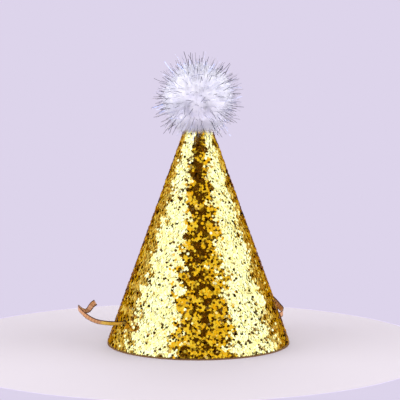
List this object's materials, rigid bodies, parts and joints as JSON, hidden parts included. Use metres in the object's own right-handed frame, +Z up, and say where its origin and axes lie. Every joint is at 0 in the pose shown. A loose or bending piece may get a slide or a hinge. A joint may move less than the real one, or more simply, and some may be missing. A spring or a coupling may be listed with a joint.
{
  "type": "party hat",
  "caption": "Small cone party hat rolled from glitter card, with a tinsel pompom glued on the tip and a short ribbon tie knotted through a hole at each side.",
  "frame": {"origin": "centre of the open base, on the surface that the hat stands on", "axes": "+Z up the cone's axis to the tip, +Y towards the lapped seam at the back, -Y the front, ties at -X and +X"},
  "size_m": [0.1126, 0.0908, 0.144],
  "materials": {
    "card": "matt card, gold outside and off-white inside",
    "glitter": "metallised gold film flakes, mirror bright",
    "glue": "cloudy hot-melt glue",
    "fluff": "soft white acrylic fibre",
    "tinsel": "metallised silver film strands",
    "ribbon": "satin gold-copper ribbon with a metallic sheen"
  },
  "bodies": {
    "root": {"cone": "card", "glitter": "glitter", "glue_bead": "glue", "pompom_fluff": "fluff", "pompom_tinsel": "tinsel", "tie_left": "ribbon", "tie_right": "ribbon", "knot_left": "ribbon", "knot_right": "ribbon"}
  },
  "joints": []
}
